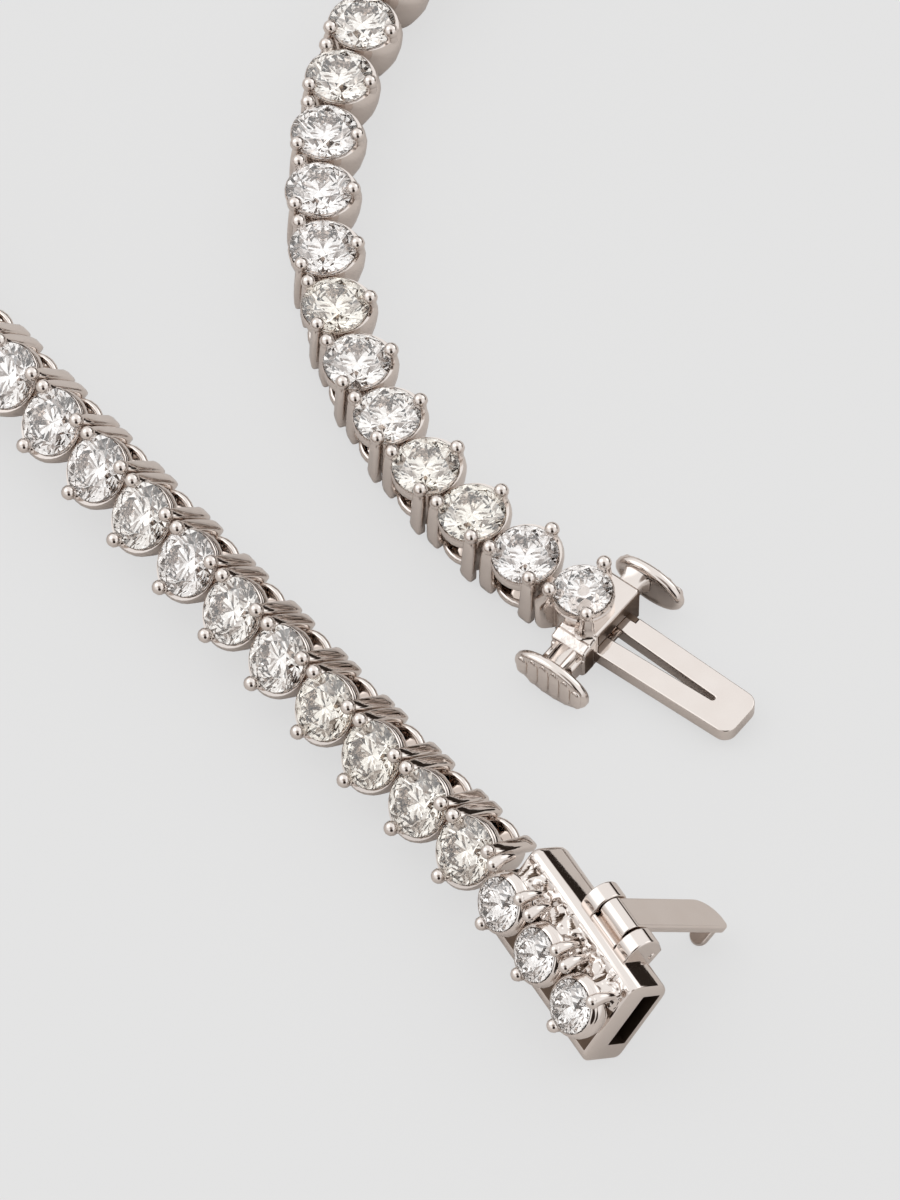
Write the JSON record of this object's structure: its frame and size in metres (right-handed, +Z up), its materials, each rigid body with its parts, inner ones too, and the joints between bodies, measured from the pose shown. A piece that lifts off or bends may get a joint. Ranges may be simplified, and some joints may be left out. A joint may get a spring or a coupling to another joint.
{
  "type": "tennis necklace",
  "caption": "Tennis necklace of three-prong links with round brilliants, lying open: a box clasp with a fold-over safety latch at one end, a slit tongue with push buttons at the other.",
  "frame": {"origin": "middle of the bounding box, on the surface the necklace lies on", "axes": "+Z up out of the surface; +Y from the open clasp towards the back of the loop; +X to the right seen from the clasp's side"},
  "size_m": [0.1008, 0.1698, 0.0055],
  "materials": {
    "white_gold": "polished white gold, mirror bright",
    "white_gold_chain": "polished white gold, mirror bright",
    "brilliant": "polished facets"
  },
  "bodies": {
    "necklace": {"clasp_box": "white_gold", "box_stone_1": "brilliant", "box_stone_2": "brilliant", "box_stone_3": "brilliant", "hinge_pin": "white_gold", "tongue_block": "white_gold", "tongue": "white_gold", "tongue_stone": "brilliant", "chain_box_side": "white_gold_chain", "chain_back_1": "white_gold_chain", "chain_back_2": "white_gold_chain", "chain_back_3": "white_gold_chain", "chain_back_4": "white_gold_chain", "chain_back_5": "white_gold_chain", "chain_back_6": "white_gold_chain", "chain_back_7": "white_gold_chain", "chain_tongue_side": "white_gold_chain"},
    "latch": {"safety_latch": "white_gold"},
    "button_left": {"push_button_left": "white_gold"},
    "button_right": {"push_button_right": "white_gold"}
  },
  "joints": [
    {"name": "safety_latch_hinge", "type": "hinge", "parent": "necklace", "child": "latch", "pos_m": [0.03447, -0.07987, 0.00434], "axis": [0.515, -0.8572, 0], "range_deg": [-83, 0]},
    {"name": "push_button_left_slide", "type": "slide", "parent": "necklace", "child": "button_left", "axis": [-0.6157, -0.788, 0], "range_m": [0, 0.0003], "stiffness_N_per_m": 1000},
    {"name": "push_button_right_slide", "type": "slide", "parent": "necklace", "child": "button_right", "axis": [0.6157, 0.788, 0], "range_m": [0, 0.0003], "stiffness_N_per_m": 1000}
  ]
}
